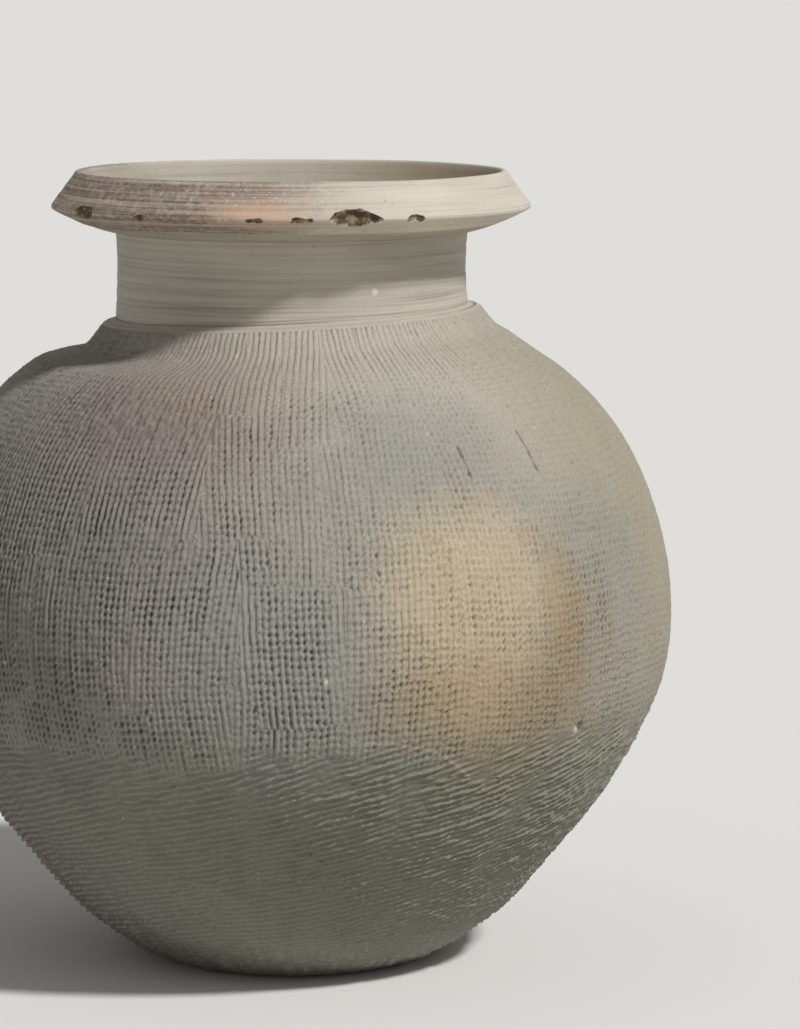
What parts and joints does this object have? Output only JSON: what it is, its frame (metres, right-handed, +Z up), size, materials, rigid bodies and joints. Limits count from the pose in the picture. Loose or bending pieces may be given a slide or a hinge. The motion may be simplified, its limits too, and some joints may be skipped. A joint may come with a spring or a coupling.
{
  "type": "pottery jar",
  "caption": "Wide round-bodied storage jar of grey fired clay with cord-marked wall, short turned neck and flared, bevelled rim.",
  "frame": {"origin": "centre of the flat resting face, on the floor", "axes": "+Z up along the jar's axis; the pictured side faces -Y, with +X to the right"},
  "size_m": [0.2892, 0.2892, 0.3],
  "materials": {
    "base_clay": "matt",
    "body_clay": "matt, cord-marked",
    "seam_clay": "matt, smoothed by hand",
    "neck_clay": "matt, wheel lines",
    "rim_clay": "matt, wheel lines, chipped edge"
  },
  "bodies": {
    "root": {"base_disc": "base_clay", "wall_course_1": "body_clay", "wall_course_2": "body_clay", "wall_course_3": "body_clay", "wall_course_4": "body_clay", "wall_course_5": "body_clay", "wall_course_6": "body_clay", "wall_course_7": "body_clay", "wall_course_8": "body_clay", "wall_course_9": "body_clay", "neck_seam_band": "seam_clay", "neck_collar": "neck_clay", "rim_flange": "rim_clay"}
  },
  "joints": []
}
